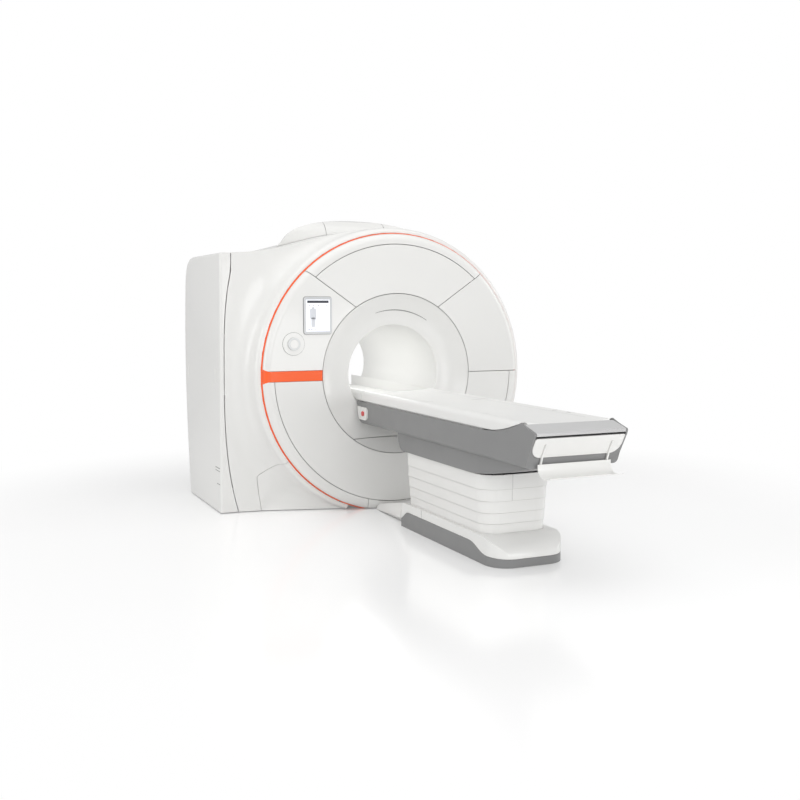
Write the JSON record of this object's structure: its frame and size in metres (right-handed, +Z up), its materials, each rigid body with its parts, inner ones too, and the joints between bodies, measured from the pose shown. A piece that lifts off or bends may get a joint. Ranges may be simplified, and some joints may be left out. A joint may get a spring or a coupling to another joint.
{
  "type": "mri scanner",
  "caption": "Closed-bore imaging scanner: round-fronted magnet with flared tunnel, lit ring, control knob and display, and a lifting table with a sliding top.",
  "frame": {"origin": "point on the floor below the bore axis, in the plane of the front panels", "axes": "+Z up, +Y into the bore away from the table, +X to the right of someone facing the tunnel"},
  "size_m": [2.299, 3.9641, 2.135],
  "materials": {
    "cover_white": "gloss",
    "tabletop_white": "satin",
    "grey_cover": "satin",
    "lit_orange": "gloss",
    "vessel_steel": "satin",
    "foot_steel": "satin",
    "bright_steel": "satin",
    "coil_resin": "matte",
    "rollers": "matte",
    "bezel": "satin",
    "screen": "gloss",
    "light_grey": "satin",
    "knob_grey": "satin",
    "stop_red": "gloss"
  },
  "bodies": {
    "gantry": {"magnet": "vessel_steel", "magnet_feet": "foot_steel", "cold_head": "bright_steel", "gradient_coil": "coil_resin", "body_coil": "coil_resin", "tunnel_liner": "tabletop_white", "front_funnel": "cover_white", "lower_funnel": "cover_white", "rear_funnel": "cover_white", "front_top_panel": "cover_white", "front_top_rim": "cover_white", "front_left_panel": "cover_white", "front_right_panel": "cover_white", "front_lower_panel": "cover_white", "lower_rims": "cover_white", "light_ring": "lit_orange", "light_band": "lit_orange", "left_shroud": "cover_white", "right_shroud": "cover_white", "corner_door": "cover_white", "left_cover": "cover_white", "right_cover": "cover_white", "upper_cover": "cover_white", "rear_cover": "cover_white", "rear_housing": "cover_white", "turret_cover": "cover_white", "turret_side_covers": "cover_white", "display_bezel": "bezel", "display_screen": "screen", "knob_housing": "cover_white", "dock_cradle": "grey_cover", "bore_bridge": "tabletop_white", "duct_plate": "foot_steel", "base_frame": "bright_steel", "kick_plate": "grey_cover", "base_fairing": "cover_white", "base_front_cover": "cover_white", "lift_guides": "bright_steel", "lift_drive": "foot_steel", "cover_5": "cover_white"},
    "table": {"carrier": "grey_cover", "table_housing": "grey_cover", "end_panel": "cover_white", "paper_tray": "cover_white", "table_rails": "tabletop_white", "end_cap": "light_grey", "feed_drive": "foot_steel", "track_rollers": "rollers", "estop_housings": "cover_white", "cover_1": "cover_white", "lift_columns": "bright_steel"},
    "tabletop": {"tabletop": "tabletop_white"},
    "cover_2": {"cover_2": "cover_white"},
    "cover_3": {"cover_3": "cover_white"},
    "cover_4": {"cover_4": "cover_white"},
    "middle_tubes": {"lift_tubes": "bright_steel"},
    "knob_ring": {"knob_ring": "knob_grey"},
    "knob_button": {"knob_button": "cover_white"},
    "left_stop": {"estop_left": "stop_red"},
    "right_stop": {"estop_right": "stop_red"}
  },
  "joints": [
    {"name": "table_lift", "type": "slide", "parent": "gantry", "child": "table", "axis": [0, 0, 1], "range_m": [-0.245, 0]},
    {"name": "tabletop_travel", "type": "slide", "parent": "table", "child": "tabletop", "axis": [0, 1, 0], "range_m": [0, 1.9]},
    {"name": "cover_2_slide", "type": "slide", "parent": "gantry", "child": "cover_2", "axis": [0, 0, 1], "range_m": [-0.1769, 0]},
    {"name": "cover_3_slide", "type": "slide", "parent": "gantry", "child": "cover_3", "axis": [0, 0, 1], "range_m": [-0.10928, 0]},
    {"name": "cover_4_slide", "type": "slide", "parent": "gantry", "child": "cover_4", "axis": [0, 0, 1], "range_m": [-0.04656, 0]},
    {"name": "middle_tube_slide", "type": "slide", "parent": "gantry", "child": "middle_tubes", "axis": [0, 0, 1], "range_m": [-0.123, 0]},
    {"name": "knob_turn", "type": "hinge", "parent": "gantry", "child": "knob_ring", "pos_m": [-0.789, 0, 1.205], "axis": [0, -1, 0], "continuous": true},
    {"name": "knob_press", "type": "slide", "parent": "knob_ring", "child": "knob_button", "axis": [0, 1, 0], "range_m": [0, 0.003], "stiffness_N_per_m": 600},
    {"name": "left_stop_press", "type": "slide", "parent": "table", "child": "left_stop", "axis": [1, 0, 0], "range_m": [0, 0.004]},
    {"name": "right_stop_press", "type": "slide", "parent": "table", "child": "right_stop", "axis": [-1, 0, 0], "range_m": [0, 0.004]}
  ],
  "couplings": [
    {"joint": "cover_2_slide", "follows": "table_lift", "ratio": 0.72},
    {"joint": "cover_3_slide", "follows": "table_lift", "ratio": 0.444},
    {"joint": "cover_4_slide", "follows": "table_lift", "ratio": 0.188},
    {"joint": "middle_tube_slide", "follows": "table_lift", "ratio": 0.5}
  ]
}
